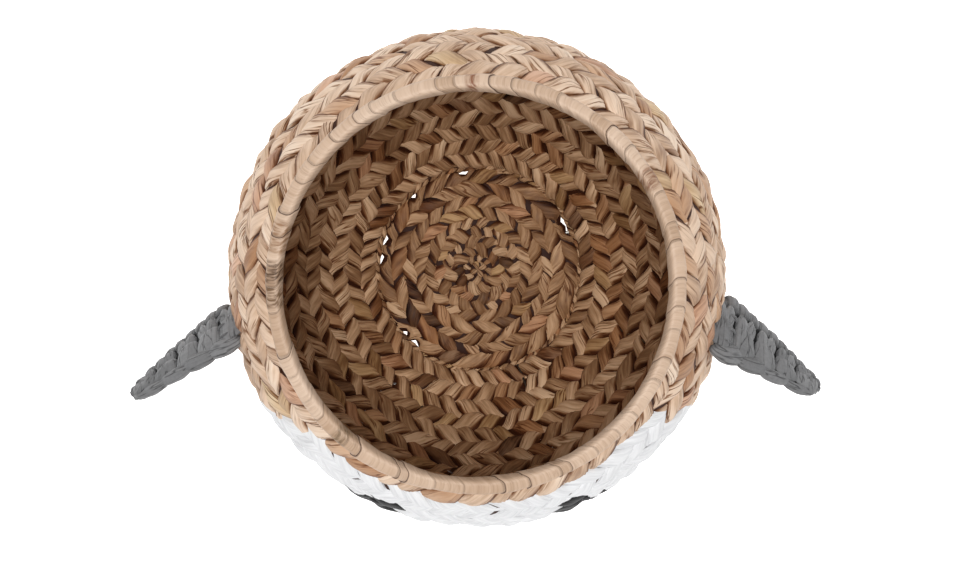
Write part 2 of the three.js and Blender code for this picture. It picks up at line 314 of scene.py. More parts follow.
def plait_recipe():
    """One closed row of twisted strands. Each strand winds round the row's middle line, and its
    raised edge lies over the next strand's low edge, as shingles do."""
    recipe, size = tree_with("plaited row", {
        "Radius": "Float", "Height": "Float", "Lean": "Float", "Half depth": "Float",
        "Half rise": "Float", "Strands": "Int", "Turns": "Int", "Hand": "Float", "Phase": "Float",
        "Steps": "Int", "Lift": "Float", "Edge": "Float", "Bulge": "Float", "Thickness": "Float",
        "Wander": "Float", "Drift": "Float", "Girth": "Float", "Core": "Float", "Seed": "Int",
        "Leaf": "Material"})
    strips = recipe.strips(size["Strands"], size["Steps"] + 1, STRAND_SPACES + 1)
    along, around, strand = recipe.strip_place()
    angle = along * math.tau
    east, north = angle.cosine(), angle.sine()
    ring = recipe.vector(east * size["Radius"], north * size["Radius"], size["Height"])
    row = size["Seed"] * ROW_SEED
    own = strand * STRAND_SEED + row

    # where the strand is on its turn; the leaves are of uneven length
    uneven = (recipe.noise(ring, ROW_WAVES, row) - 0.5) * size["Wander"] * ROW_UNEVEN
    own_uneven = (recipe.noise(ring, STRAND_WAVES, own) - 0.5) * size["Wander"] * STRAND_UNEVEN
    turn = size["Hand"] * size["Turns"]
    place = angle * turn + strand / size["Strands"] * math.tau + size["Phase"] + uneven + own_uneven

    # across the strand: its face from -1 to 1, then back underneath; it is widest halfway
    under = 1.0 - (around - FACE_SHARE) * (2.0 / (1.0 - FACE_SHARE))
    across = (around * (2.0 / FACE_SHARE) - 1.0).at_most(under)
    beneath = around.above(FACE_SHARE + 0.001)
    fullness = (place * 2.0).cosine()
    girth = (recipe.noise(ring, WIDTH_WAVES, own + 9.0) - 0.5) * WIDTH_UNEVEN
    girth = girth + fullness * STRAND_CROWN + size["Girth"]
    wound = place + across * girth * STRAND_REACH / size["Strands"]

    # height of the face over the row's body: its swell, its tilt, thin edges and folds, and a leaf
    # is fullest in its middle
    fold_place = recipe.vector(
        east * size["Radius"] * FOLD_WAVES, north * size["Radius"] * FOLD_WAVES, across * FOLDS_ACROSS)
    folds = recipe.noise(fold_place, 1.0, own + 20.0, 2.0) - 0.5
    swell = recipe.noise(ring, SWELL_WAVES, own + 40.0) - 0.5
    tilt = recipe.noise(ring, TILT_WAVES, own + 50.0) * TILT_MOST
    edge = across.absolute() ** EDGE_POWER
    bulge = (fullness - 0.4) * size["Bulge"]
    face = (across * tilt + folds * FOLD_DEPTH + swell * SWELL_DEPTH) * size["Lift"] + bulge
    face = face - (across * across + edge) * size["Edge"]
    depth = face - beneath * size["Thickness"] * (1.0 - across * across)

    # 1 where the next strand's face takes over, counted from the highest place of this tilted one
    shown_middle = tilt * size["Lift"] / size["Edge"] * 0.5
    border = (across - shown_middle).absolute() * girth * (STRAND_REACH / math.pi)

    def laid(out, up):
        """A point this far out of and up from the row's middle line, and not under the floor."""
        cosine, sine = size["Lean"].cosine(), size["Lean"].sine()
        reach = size["Radius"] + out * cosine - up * sine
        height = (size["Height"] + out * sine + up * cosine).at_least(0.0)
        return recipe.vector(east * reach, north * reach, height)

    drift = (recipe.noise(ring, DRIFT_WAVES, 70.0) - 0.5) * size["Drift"]
    sway = (recipe.noise(ring, SWAY_WAVES, 90.0) - 0.5) * size["Drift"]
    outward = squared(wound.cosine(), SECTION_POWER) * (size["Half depth"] + depth) + sway
    upward = squared(wound.sine(), SECTION_POWER) * (size["Half rise"] + depth) + drift

    # what the material asks of each leaf, which shows for half a turn
    halves = size["Turns"] * 2.0
    leaf = (place / math.pi + 0.5).whole() % halves + strand * LEAF_NUMBERS
    middle = angle - (place - (place / math.tau + 0.5).whole() * math.tau) / turn
    middle = middle * (1.0 - OWN_PLACE_SHARE) + angle * OWN_PLACE_SHARE
    level = size["Height"] + size["Lean"].cosine() * upward * OWN_PLACE_SHARE
    woven = recipe.keep(
        strips, leaf_shade=recipe.chance(leaf, size["Seed"]),
        leaf_tint=recipe.chance(leaf, size["Seed"] + TINT_SEED),
        leaf_way=recipe.vector(middle.cosine(), middle.sine(), level),
        outside=wound.cosine(), hollow=(border ** EDGE_POWER).at_most(1.0),
        grain=recipe.vector(east * size["Radius"], north * size["Radius"], across * LEAF_HALF_WIDTH + own))
    woven = recipe.moved(woven, laid(outward, upward))

    # a core of packed leaf fills the row, so that no light comes through it; its dark colour is painted
    # shade for the gaps between the leaves
    core = recipe.grid(size["Turns"] * CORE_POINTS[0] + 1.0, CORE_POINTS[1])
    core = recipe.keep(core, hollow=CORE_HOLLOW, outside=-1.0)
    core_turn = around * math.tau
    core = recipe.moved(core, laid(
        core_turn.cosine() * size["Half depth"] * size["Core"] + sway,
        core_turn.sine() * size["Half rise"] + drift))
    end_with(recipe, recipe.joined(woven, core), size["Leaf"])
    return recipe


def linear(red, green, blue):
    """A colour read from 0 to 255, as the shader wants it."""
    def light(value):
        share = value / 255
        return share / 12.92 if share <= 0.04045 else ((share + 0.055) / 1.055) ** 2.4
    return (light(red), light(green), light(blue), 1.0)


def finish_for(name):
    """A material with nothing in its tree but a Principled BSDF, as (material, recipe, shader)."""
    material = bpy.data.materials.new(name)
    material.use_nodes = True
    return material, Recipe(material.node_tree), material.node_tree.nodes["Principled BSDF"]


def finish_with(recipe, shader, colour, roughness, relief, strength=0.9):
    """Colour, roughness and relief on the shader."""
    recipe.tree.links.new(colour.socket, shader.inputs["Base Color"])
    recipe.tree.links.new(roughness.socket, shader.inputs["Roughness"])
    bump = recipe.node("ShaderNodeBump", None, {"Strength": strength, "Distance": 1.0, "Height": relief})
    recipe.tree.links.new(bump.socket, shader.inputs["Normal"])


LEAF_SHADES = [(0.12, linear(168, 135, 110)), (0.38, linear(206, 175, 148)),
               (0.6, linear(226, 198, 173)), (0.85, linear(238, 216, 194))]
# dyes of a few leaves: from and to this chance, and whether on the shaded side alone
RARE_LEAVES = [(0.0, 0.03, linear(150, 120, 98), True), (0.03, 0.05, linear(118, 92, 76), True),
               (0.05, 0.10, linear(244, 241, 224), False), (0.12, 0.16, linear(240, 222, 214), False),
               (0.16, 0.24, linear(228, 212, 198), False), (0.24, 0.27, linear(214, 190, 168), False)]
INSIDE_SHADE_TONES = [(0.3, linear(196, 176, 150)), (0.7, linear(242, 226, 204))]
HOLLOW_SHADE_AND_CREASE_TONES = [(0.0, linear(255, 255, 255)), (0.55, linear(166, 140, 118)), (1.0, linear(98, 64, 40))]
FIBRE_WAVES = (60.0, 60.0, 900.0)    # to a metre: two ways along the row, then across the strand
CREASE_WAVES = (24.0, 24.0, 420.0)
CREASE_WIDTH = 0.04
BLOTCH_WAVES = 55.0
LEAF_WEIGHT, FIBRE_WEIGHT, BLOTCH_WEIGHT = 0.42, 0.8, 0.8    # of each in the place on LEAF_SHADES
SHADE_START = 0.095
LEAF_GLOSS = 0.2
LEAF_ROUGHNESS = (0.5, 0.72)
FIBRE_RELIEF, CREASE_RELIEF, CREASE_CUT = 0.0005, 0.0012, 0.0004


def leaf_colour(recipe):
    """Dried leaf: fibres along the strand, a shade for each leaf, a few olive or reddish ones, dark
    brown ones on the shaded side, and painted shade on the faces turned into the basket, in the
    hollows between leaves and partly in the creases. Gives its colour, roughness and relief,
    and the fibres and blotches that paint on it follows."""
    grain = recipe.known("grain", "Vector")
    fibres = recipe.noise(recipe.scaled(grain, FIBRE_WAVES), 1.0, 0.0, 3.0)
    creases = recipe.noise(recipe.scaled(grain, CREASE_WAVES), 1.0, 5.0, 2.0)
    blotches = recipe.noise(grain, BLOTCH_WAVES, 3.0, 3.0)
    shade = recipe.known("leaf_shade") * LEAF_WEIGHT + fibres * FIBRE_WEIGHT
    shade = shade + (blotches - 0.5) * BLOTCH_WEIGHT - SHADE_START
    colour = recipe.ramp(shade, LEAF_SHADES)
    tint = recipe.known("leaf_tint")
    shaded = recipe.stretch(recipe.known("outside"), -0.3, 0.1, 1.0, 0.0)
    for low, high, darker_tone, inside_only in RARE_LEAVES:
        chosen = tint.above(low) * (1.0 - tint.above(high))
        if inside_only:
            chosen = chosen * shaded * recipe.stretch(blotches, 0.3, 0.6, 0.35, 1.0)
        colour = recipe.darkened(chosen, colour, darker_tone)
    # painted shade: the strands' faces turned into the basket are darkened, darker leaves more so
    colour = recipe.darkened(shaded, colour, recipe.ramp(shade, INSIDE_SHADE_TONES))

    # crease lines, partly the leaf's own dark fibres and partly painted shade in the creases, are darkest
    # towards the leaf's sides and where it is blotched
    side = recipe.known("hollow") ** (1 / EDGE_POWER)
    crease = recipe.stretch((creases - 0.5).absolute(), 0.0, CREASE_WIDTH, 1.0, 0.0)
    crease = crease * (recipe.stretch(blotches, 0.48, 0.6, 0.1, 0.75) + side ** 3.0 * 0.8)
    # painted shade: each leaf darkens towards the hollows between leaves, and the crease lines darken with
    # it
    hollow_shade_and_creases = recipe.stretch(recipe.known("hollow"), 0.12, 1.0).at_least(crease * 0.9)
    colour = recipe.darkened(1.0, colour, recipe.ramp(hollow_shade_and_creases, HOLLOW_SHADE_AND_CREASE_TONES))
    roughness = recipe.stretch(fibres, 0.3, 0.7, *LEAF_ROUGHNESS)
    relief = fibres * FIBRE_RELIEF + creases * CREASE_RELIEF - crease * CREASE_CUT
    return colour, roughness, relief, fibres, blotches


# painted shade: the leaf of the base is darkened beyond that of the wall
BASE_PAINTED_SHADE = linear(245, 241, 236)

base_leaf, recipe, shader = finish_for("base leaf")
colour, roughness, relief, fibres, blotches = leaf_colour(recipe)
shader.inputs["Specular IOR Level"].default_value = LEAF_GLOSS
finish_with(recipe, shader, recipe.darkened(1.0, colour, BASE_PAINTED_SHADE), roughness, relief)

BASE_MIDDLE_HEIGHT = 0.0055
BASE_INNER = 0.0145
BASE_OUTER = 0.0912
BASE_RING_ROWS = {"base_ring_01": 2, "base_ring_02": 3, "base_ring_03": 3}
BASE_SOLIDS = [name for name, rows in BASE_RING_ROWS.items() for _ in range(rows)]
BASE_ROWS = len(BASE_SOLIDS)
TWO_STRAND_ROWS = 3                  # the innermost ones
BASE_ROW_GROWTH = 0.0032             # how much wider the last row is than the first
BASE_ROW_OVERLAP = 0.0032            # how far a row reaches into the next
BASE_LEAF = 0.009                    # the next leaf starts after this and a part of the row's radius
BASE_LEAF_GROWTH = 0.16
STEPS_IN_BASE_TURN = 26
SLIT_WAYS = [98.8, 131.5, 162.3, 173.5, 30.5, 23.5, 221.1, 229.5]    # degrees, counted from +X
SLIT_HALF_WIDTH = 3.6                                                 # degrees
SLIT_OPENING = 0.0062
SLIT_ROW_SHARE = 0.3                 # how far inside the row's middle line a slit still pulls


def open_slits(row, radius, half_width):
    """Draws the row in from the hoop at a few places, where daylight shows."""
    for vertex in row.data.vertices:
        way = math.degrees(math.atan2(vertex.co.y, vertex.co.x)) % 360
        nearest = min(abs((way - slit + 180) % 360 - 180) for slit in SLIT_WAYS)
        pull = max(0.0, 1 - (nearest / SLIT_HALF_WIDTH) ** 4)
        reach = math.hypot(vertex.co.x, vertex.co.y)
        outer = max(0.0, (reach - radius) / half_width + SLIT_ROW_SHARE)
        factor = 1 - SLIT_OPENING * pull * min(1.0, outer) / reach
        vertex.co.x *= factor
        vertex.co.y *= factor


plait = plait_recipe()
inner = BASE_INNER
for count in range(BASE_ROWS):
    width = (BASE_OUTER - BASE_INNER) / BASE_ROWS + BASE_ROW_GROWTH * (count / (BASE_ROWS - 1) - 0.5)
    radius = inner + width / 2
    inner += width
    strands = 2 if count < TWO_STRAND_ROWS else 3
    turns = round(math.tau * radius / strands / (BASE_LEAF + radius * BASE_LEAF_GROWTH))
    row = grown(f"base_row_{count + 1:02d}", plait, {
        "Radius": radius, "Height": BASE_MIDDLE_HEIGHT, "Lean": -math.pi / 2, "Half depth": 0.0046,
        "Half rise": width / 2 + BASE_ROW_OVERLAP, "Strands": strands, "Turns": turns,
        "Hand": 1.0 if count % 2 else -1.0, "Phase": 1.7 * count, "Steps": turns * STEPS_IN_BASE_TURN,
        "Lift": 0.0013, "Edge": 0.0020, "Bulge": 0.0008, "Thickness": 0.0022, "Wander": 1.0,
        "Drift": 0.003, "Girth": 1.42, "Core": 0.62, "Seed": 40 + count, "Leaf": base_leaf})
    if count == BASE_ROWS - 1:
        open_slits(row, radius, width / 2)
    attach(row, "basket")
    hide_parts(BASE_SOLIDS[count])


# Crossing of the stakes
# Two pale split stakes cross in the middle of the base, one over the other, and two
# small rings of thin twisted leaf bind them before the wide rows begin.

STAKE_POINTS = (19, 13)              # along a stake and round it
STAKE_ARCH = 3.1                     # radians of a cosine from end to end, for its bend
STAKE_ARCH_RISE = 1.4                # beside the rise from one stake to the next


def crossing_recipe():
    """Flat split stakes through one point, each turned and raised from the one under it."""
    recipe, size = tree_with("crossing stakes", {
        "Stakes": "Int", "Length": "Float", "Width": "Float", "Thickness": "Float", "Height": "Float",
        "Rise": "Float", "First way": "Float", "Leaf": "Material"})
    strips = recipe.strips(size["Stakes"], *STAKE_POINTS)
    along, around, stake = recipe.strip_place()
    from_middle = along - 0.5
    turn = around * math.tau
    taper = (1.0 - (from_middle * 2.0).absolute() ** 6.0).root()
    side = turn.cosine() * size["Width"] * 0.5 * taper
    arch = (from_middle * STAKE_ARCH).cosine() * size["Rise"] * STAKE_ARCH_RISE
    height = size["Height"] + stake * size["Rise"] + turn.sine() * size["Thickness"] * 0.5 * taper + arch
    way = size["First way"] + stake * (math.pi / 2)
    pushed = from_middle * size["Length"]
    # painted shade: the stakes take the inner side's painted shade and darken towards their edges
    crossed = recipe.keep(
        strips, leaf_shade=0.7, leaf_tint=0.9, outside=-1.0,
        hollow=turn.cosine().absolute() ** 3.0 * 0.8 + 0.1, grain=recipe.vector(pushed, stake, side))
    crossed = recipe.moved(crossed, recipe.vector(
        way.cosine() * pushed - way.sine() * side, way.sine() * pushed + way.cosine() * side, height))
    end_with(recipe, crossed, size["Leaf"], True)
    return recipe


BINDING_RADII_AND_TURNS = ((0.0042, 2), (0.0106, 4))
STEPS_IN_BINDING_TURN = 22

crossing = [grown("base_stakes", crossing_recipe(), {
    "Stakes": 2, "Length": 0.0165, "Width": 0.0026, "Thickness": 0.0018, "Height": 0.0084,
    "Rise": 0.0009, "First way": math.radians(40), "Leaf": base_leaf})]
for count, (radius, turns) in enumerate(BINDING_RADII_AND_TURNS):
    crossing.append(grown(f"base_binding_{count + 1:02d}", plait, {
        "Radius": radius, "Height": BASE_MIDDLE_HEIGHT, "Lean": -math.pi / 2, "Half depth": 0.0040,
        "Half rise": 0.0052, "Strands": 2, "Turns": turns, "Hand": 1.0 if count else -1.0, "Phase": 0.4,
        "Steps": turns * STEPS_IN_BINDING_TURN, "Lift": 0.0010, "Edge": 0.0014, "Bulge": 0.0006,
        "Thickness": 0.0016, "Wander": 0.5, "Drift": 0.001, "Girth": 1.2, "Core": 0.7,
        "Seed": 61 + count, "Leaf": base_leaf}))
for piece in crossing:
    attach(piece, "basket")
    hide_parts("base_cross")


# Base hoop
# A wire ring round the base, where the wall starts, hidden in a thin cord of two
# twisted leaf strands that is wound on it before the wall is woven.

CORD_TURNS = 34
STEPS_IN_CORD_TURN = 16

hoop_low, hoop_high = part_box("base_hoop")
base_hoop_radius = hoop_high.x - (hoop_high.z - hoop_low.z) / 2
base_hoop_height = (hoop_high.z + hoop_low.z) / 2
cord = grown("base_hoop_cord", plait, {
    "Radius": base_hoop_radius, "Height": base_hoop_height, "Lean": -0.9, "Half depth": 0.0034,
    "Half rise": 0.0034, "Strands": 2, "Turns": CORD_TURNS, "Hand": 1.0, "Phase": 0.0,
    "Steps": CORD_TURNS * STEPS_IN_CORD_TURN, "Lift": 0.0006, "Edge": 0.0012, "Bulge": 0.0,
    "Thickness": 0.001, "Wander": 0.5, "Drift": 0.0, "Girth": 1.2, "Core": 0.4, "Seed": 71,
    "Leaf": base_leaf})
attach(cord, "basket")
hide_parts("base_hoop")


# Rows of the wall
# Twenty rows of three twisted strands each, from the base hoop over the belly to the rim.
# They lean in turn to either hand, and the front is brushed with white paint, with two
# slanted black ovals on it. The paint misses the hollows between the leaves.

PAINT_TOP = 0.280
PAINT_SIDE_TOP = 0.196
PAINT_BEND = (0.90, 1.12)            # radians from the front, where the paint's upper edge falls away
PAINT_HALF_WIDTH = 1.12
PAINT_FOOT = 0.030
PAINT_FRINGE = 0.09                  # radians by which the leaves at its side edges differ
PAINT_FACE = (-0.12, 0.16)           # of the strand's outward way, from bare to covered
PAINT_GAP = (1.22, 1.37)             # of hollow and blotches, from covered to bare
PAINT_BLOTCHES = 1.3                 # how much the blotches count in that
PAINT_TONES = [(0.25, linear(212, 212, 214)), (0.6, linear(236, 236, 237))]
PAINT_ROUGHNESS = 0.58
PATCH_TONE = linear(32, 32, 33)
PATCH_AWAY = math.radians(26.0)
PATCH_HEIGHT = 0.203
PATCH_HALF_WIDTH = math.radians(6.4)
PATCH_HALF_HEIGHT = 0.046
PATCH_SLANT = math.radians(3.6)

wall_leaf, recipe, shader = finish_for("wall leaf")
colour, roughness, relief, fibres, blotches = leaf_colour(recipe)
way_y, way_z = recipe.parts_of(recipe.known("leaf_way", "Vector"))[1:]
from_front = (-way_y).maths("ARCCOSINE")
aside = from_front + (recipe.known("leaf_shade") - 0.5) * PAINT_FRINGE
brim = recipe.stretch(aside, *PAINT_BEND, PAINT_TOP, PAINT_SIDE_TOP)
facing = recipe.stretch(recipe.known("outside"), *PAINT_FACE)
gap = recipe.known("hollow") + (blotches - 0.5) * PAINT_BLOTCHES
missed = recipe.stretch(gap, *PAINT_GAP, 1.0, 0.0)
covered = facing * missed
painted = (brim - way_z).above(0.0) * (PAINT_HALF_WIDTH - aside).above(0.0) * way_z.above(PAINT_FOOT)
white = painted * covered
colour = recipe.mixed(white, colour, recipe.ramp(fibres, PAINT_TONES))
along = (way_z - PATCH_HEIGHT) / PATCH_HALF_HEIGHT
beside = (from_front - PATCH_AWAY + along * PATCH_SLANT) / PATCH_HALF_WIDTH
black = (1.0 - (beside * beside + along * along)).above(0.0) * covered
colour = recipe.mixed(black, colour, PATCH_TONE)
roughness = roughness * (1.0 - white) + white * PAINT_ROUGHNESS
shader.inputs["Specular IOR Level"].default_value = LEAF_GLOSS
finish_with(recipe, shader, colour, roughness, relief)

BELLY_MIDDLE = 0.189
BELLY_HEIGHT = 0.180
WALL_ROWS = 20
ROWS_IN_BAND = 2
WALL_MARGIN = (0.0028, 0.0033)       # from the hoops' middles to the first and last row
WALL_TURNS = 16
STEPS_IN_WALL_TURN = 24
FIRST_ROW_OVERLAP = 0.0025           # how far the lowest row reaches over the next
WALL_OVERLAP = 0.0045                # and how far the others do

rim_low, rim_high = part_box("rim_hoop")
rim_radius = rim_high.x - (rim_high.z - rim_low.z) / 2
rim_height = (rim_high.z + rim_low.z) / 2


def bow_to(radius, height):
    """The arc from the belly to a hoop, as (its radius, its angle)."""
    inward = BELLY_MIDDLE - radius
    away = abs(BELLY_HEIGHT - height)
    bow = (inward ** 2 + away ** 2) / (2 * inward)
    return bow, math.asin(away / bow)


lower_bow, lower_angle = bow_to(base_hoop_radius, base_hoop_height)
upper_bow, upper_angle = bow_to(rim_radius, rim_height)
wall_length = lower_bow * lower_angle + upper_bow * upper_angle
wall_row_rise = (wall_length - sum(WALL_MARGIN)) / WALL_ROWS


def wall_at(distance):
    """The wall's middle at this distance up from the base hoop, as (radius, height, lean)."""
    past = distance - lower_bow * lower_angle
    bow = lower_bow if past < 0 else upper_bow
    lean = past / bow
    return BELLY_MIDDLE - bow * (1 - math.cos(lean)), BELLY_HEIGHT + bow * math.sin(lean), lean


for count in range(WALL_ROWS):
    radius, height, lean = wall_at(WALL_MARGIN[0] + (count + 0.5) * wall_row_rise)
    row = grown(f"wall_row_{count + 1:02d}", plait, {
        "Radius": radius, "Height": height, "Lean": lean, "Half depth": 0.0054,
        "Half rise": wall_row_rise / 2 + (WALL_OVERLAP if count else FIRST_ROW_OVERLAP), "Strands": 3,
        "Turns": WALL_TURNS, "Hand": 1.0 if count % 2 else -1.0, "Phase": 2.1 * count,
        "Steps": WALL_TURNS * STEPS_IN_WALL_TURN, "Lift": 0.0015, "Edge": 0.0026, "Bulge": 0.0009,
        "Thickness": 0.0028, "Wander": 1.0, "Drift": 0.005, "Girth": 1.24, "Core": 0.4,
        "Seed": 1 + count, "Leaf": wall_leaf})
    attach(row, "basket")
    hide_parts(f"wall_band_{count // ROWS_IN_BAND + 1:02d}")


# Rim wrap
# Broad flat leaf strips, wound tightly side by side round the rim's wire ring and
# the top row. Each lies a little over the next, and a few of them are stained.

RIM_GIRTH = 0.0057
RIM_SECTION_POWER = 0.6              # squarer than the rows
RIM_SECTION_POINTS = 33
STRIP_EDGE_SHARE = 0.1               # of a strip's points, close together at its raised edge
STRIP_EDGE_WIDTH = 0.03              # the part of its width that they share
STRIP_SHIFT = 0.8                    # how far the strips' edges stray, beside a strip's width
STRIP_FALL = 0.9                     # how much of its edge's rise a strip has lost at its other side
BOLD_RISE = 1.6                      # of the boldest strip's edge, in steps
FAINT_SHIFT, OUTER_GAP_SHADE_SHIFT = 0.04, 0.08    # less painted shade in the gap beside faint strips, more on the outer side
OUTER_WAY = 0.6                      # radians under the level, where edges stand out most
PUCKER_WAVES = (55.0, 24.0)
PUCKER_HEIGHT = 0.0014


def winding_recipe():
    """A ring of strips wound round a wire. Each strip steps down to the next one's edge."""
    recipe, size = tree_with("wound strips", {
        "Radius": "Float", "Height": "Float", "Girth": "Float", "Strips": "Int", "Steps": "Int",
        "Step": "Float", "Slant": "Float", "Tip": "Float", "Flare": "Float", "Seed": "Int",
        "Strip": "Material"})
    sheet = recipe.grid(size["Strips"] * size["Steps"] + 1, RIM_SECTION_POINTS)
    along, around = recipe.strip_place()[:2]
    turn = around * math.tau
    counted = along * size["Strips"] + 0.0001
    strip = counted.whole() % size["Strips"]
    share = counted.fraction()
    share = (recipe.stretch(share, 0.0, STRIP_EDGE_SHARE, 0.0, STRIP_EDGE_WIDTH)
             + recipe.stretch(share, STRIP_EDGE_SHARE, 1.0, 0.0, 1.0 - STRIP_EDGE_WIDTH))
    after = (strip + 1.0) % size["Strips"]
    early = (recipe.chance(strip, size["Seed"]) - 0.5) * STRIP_SHIFT
    late = (recipe.chance(after, size["Seed"]) - 0.5) * STRIP_SHIFT
    place = counted.whole() + share + early * (1.0 - share) + late * share
    angle = (place + turn.sine() * size["Slant"]) / size["Strips"] * math.tau
    east, north = angle.cosine(), angle.sine()
    ring = recipe.vector(east * size["Radius"], north * size["Radius"], strip * 0.03)

    # how thick the wrap is there: a bold strip stands higher over the next, and edges stand out
    bold = recipe.chance(strip, size["Seed"] + 20.0)
    raised = recipe.stretch(share, 0.0, STRIP_EDGE_WIDTH) * (1.0 - share * STRIP_FALL)
    raised = raised * (bold * bold * BOLD_RISE)
    crease_place = recipe.vector(share * 2.5, turn.cosine() * 0.9, turn.sine() * 0.9)
    creases = recipe.noise(crease_place, 1.0, strip + 0.3, 2.0)
    puckers = recipe.noise(ring, PUCKER_WAVES[0], 4.0) + recipe.noise(ring, PUCKER_WAVES[1], 8.0) - 1.0
    outer = (turn + OUTER_WAY).cosine().at_least(0.0)
    flare = outer ** 4.0 * recipe.chance(strip, size["Seed"] + 70.0)
    girth = size["Girth"] + size["Step"] * (raised - 0.6 + (creases - 0.5) * 0.8)
    girth = girth + puckers * PUCKER_HEIGHT + flare * size["Flare"]
    # the painted shade in the gap between strips reaches further into bold strips on their outer side
    outer_gap_shade = outer ** 6.0 * bold

    # a squarish section, tipped outwards
    out = squared(turn.cosine(), RIM_SECTION_POWER) * girth
    up = squared(turn.sine(), RIM_SECTION_POWER) * girth
    radius = size["Radius"] + out * size["Tip"].cosine() + up * size["Tip"].sine()
    height = size["Height"] - out * size["Tip"].sine() + up * size["Tip"].cosine()
    wound = recipe.keep(
        sheet, strip_shade=recipe.chance(strip, size["Seed"] + 50.0),
        strip_way=recipe.vector(east, north, 0.0),
        strip_share=share + (1.0 - bold) * FAINT_SHIFT - outer_gap_shade * OUTER_GAP_SHADE_SHIFT,
        grain=recipe.vector(share * 0.012 + strip, turn.cosine() * 0.006, turn.sine() * 0.006))
    wound = recipe.moved(wound, recipe.vector(east * radius, north * radius, height))
    end_with(recipe, wound, size["Strip"])
    return recipe


STRIP_SHADES = [(0.1, linear(170, 138, 110)), (0.45, linear(200, 171, 146)), (0.8, linear(217, 191, 168))]
STRIP_ROUGHNESS = (0.42, 0.6)
STRIP_GLOSS = 0.4
WRINKLE_SHADE_TONE = linear(160, 124, 98)
STRIP_GAP_SHADE_TONE = linear(76, 46, 28)
STRIP_GAP_SHADE_SHARES = (0.01, 0.05)          # of a strip's width, where the painted shade in the gap beside it fades
STAINS = [                           # degrees from +X, half width in degrees, tone
    (166, 4.5, linear(190, 170, 150)), (176, 3.0, linear(128, 114, 100)), (183, 3.0, linear(150, 134, 114)),
    (91, 1.4, linear(172, 136, 118)), (228, 2.0, linear(176, 172, 160)), (32, 3.0, linear(178, 152, 136))]
STAIN_FADE = 0.8                     # degrees

rim_strip, recipe, shader = finish_for("rim strip")
grain = recipe.known("grain", "Vector")
fibres = recipe.noise(recipe.scaled(grain, (900.0, 60.0, 60.0)), 1.0, 0.0, 3.0)
wrinkles = recipe.noise(recipe.scaled(grain, (420.0, 30.0, 30.0)), 1.0, 7.0, 2.0)
wrinkle = recipe.stretch((wrinkles - 0.5).absolute(), 0.0, 0.02, 1.0, 0.0)
mottle = recipe.noise(recipe.scaled(grain, (800.0, 160.0, 160.0)), 1.0, 11.0, 3.0)
mottle = recipe.stretch(mottle, 0.42, 0.58)
colour = recipe.ramp(recipe.known("strip_shade") * 0.45 + fibres * 0.7 - 0.07, STRIP_SHADES)
# painted shade: thin dark lines along the wrinkles
colour = recipe.darkened(wrinkle * 0.14, colour, WRINKLE_SHADE_TONE)
way = recipe.known("strip_way", "Vector")
for degrees, half_width, tone in STAINS:
    stain_way = (math.cos(math.radians(degrees)), math.sin(math.radians(degrees)), 0.0)
    near = recipe.node("ShaderNodeVectorMath", {"operation": "DOT_PRODUCT"},
                       {0: way, 1: stain_way}, "Value")
    reach = math.cos(math.radians(half_width + STAIN_FADE))
    full = math.cos(math.radians(half_width - STAIN_FADE))
    colour = recipe.darkened(recipe.stretch(near, reach, full) * (0.25 + mottle * 0.75), colour, tone)
# painted shade: a thin dark line in the gap where one strip meets the next
strip_gap_shade = recipe.stretch(recipe.known("strip_share"), *STRIP_GAP_SHADE_SHARES, 0.95, 0.0)
colour = recipe.darkened(strip_gap_shade, colour, STRIP_GAP_SHADE_TONE)
shader.inputs["Specular IOR Level"].default_value = STRIP_GLOSS
relief = fibres * 0.0004 + wrinkles * 0.0004 - wrinkle * 0.0002
finish_with(recipe, shader, colour, recipe.stretch(fibres, 0.3, 0.7, *STRIP_ROUGHNESS), relief, 0.8)

wrap = grown("rim_winding", winding_recipe(), {
    "Radius": rim_radius, "Height": rim_height, "Girth": RIM_GIRTH, "Strips": 46, "Steps": 16,
    "Step": 0.0006, "Slant": 0.3, "Tip": 0.3, "Flare": 0.0024, "Seed": 5, "Strip": rim_strip})
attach(wrap, "basket")
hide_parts("rim_wrap")


# Wires
# Drawn steel wire, dulled by the damp leaf: eight spokes under the base, eight bent
# uprights in the wall and the rim's ring. All are hidden in the weave, and they are the
# frame's own solids.

WIRE_TONES = [(0.3, linear(92, 90, 86)), (0.7, linear(124, 121, 116))]
WIRE_ROUGHNESS = (0.28, 0.45)

steel, recipe, shader = finish_for("drawn steel wire")
place = recipe.node("ShaderNodeTexCoord", None, None, "Object")
draw_marks = recipe.noise(recipe.scaled(place, (900.0, 900.0, 60.0)), 1.0, 0.0, 2.0)
shader.inputs["Metallic"].default_value = 1.0
finish_with(recipe, shader, recipe.ramp(draw_marks, WIRE_TONES),
            recipe.stretch(draw_marks, 0.3, 0.7, *WIRE_ROUGHNESS), draw_marks * 0.0002, 0.5)
for name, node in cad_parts.items():
    if name.startswith(("spoke", "upright")) or name == "rim_hoop":
        for slot in node.material_slots:
            slot.material = steel


# Ears
# Two soft ears crocheted from thick grey jersey yarn: wide stitches that wrap the
# ear and show as bumps on its back edge, with small dark holes beside them, and
# plain yarn along the other edge. Each is sewn to the wall along its root.

EAR_LENGTH = 0.087
EAR_WIDTHS = (0.060, 0.020)
EAR_DEPTHS = (0.013, 0.009)
EAR_SAG = 0.005
EAR_STITCHES = 4
EAR_TIP_SHARE = 0.35                 # of a stitch, beyond the last whole one
EAR_OUTLINE_INSET = (0.003, 0.0026)  # from the ear's outline to the middle of its yarn
YARN_POINTS = (29, 19)               # along a piece of yarn and round it


